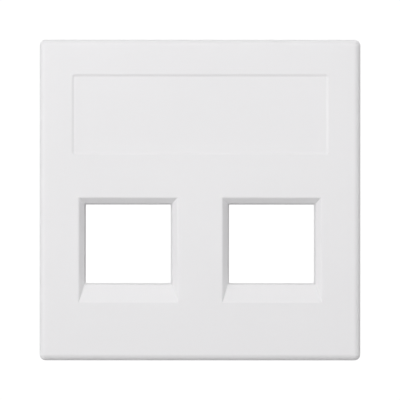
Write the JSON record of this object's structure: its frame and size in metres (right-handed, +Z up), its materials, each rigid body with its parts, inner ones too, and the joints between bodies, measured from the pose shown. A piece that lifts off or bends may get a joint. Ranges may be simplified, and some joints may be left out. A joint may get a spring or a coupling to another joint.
{
  "type": "keystone faceplate",
  "caption": "Square white moulded cover plate for a data outlet, with bevelled openings for keystone jacks below a recessed label field. Snaps on from the front.",
  "frame": {"origin": "centre of the rear rim's plane, where the plate meets the outlet's support or frame", "axes": "+Z up as the plate hangs on a wall, +X to the right seen from the front, +Y into the wall, so the front face looks along -Y"},
  "size_m": [0.055, 0.0116, 0.055],
  "materials": {
    "white_plastic": "satin"
  },
  "bodies": {
    "root": {"faceplate": "white_plastic"}
  },
  "joints": []
}
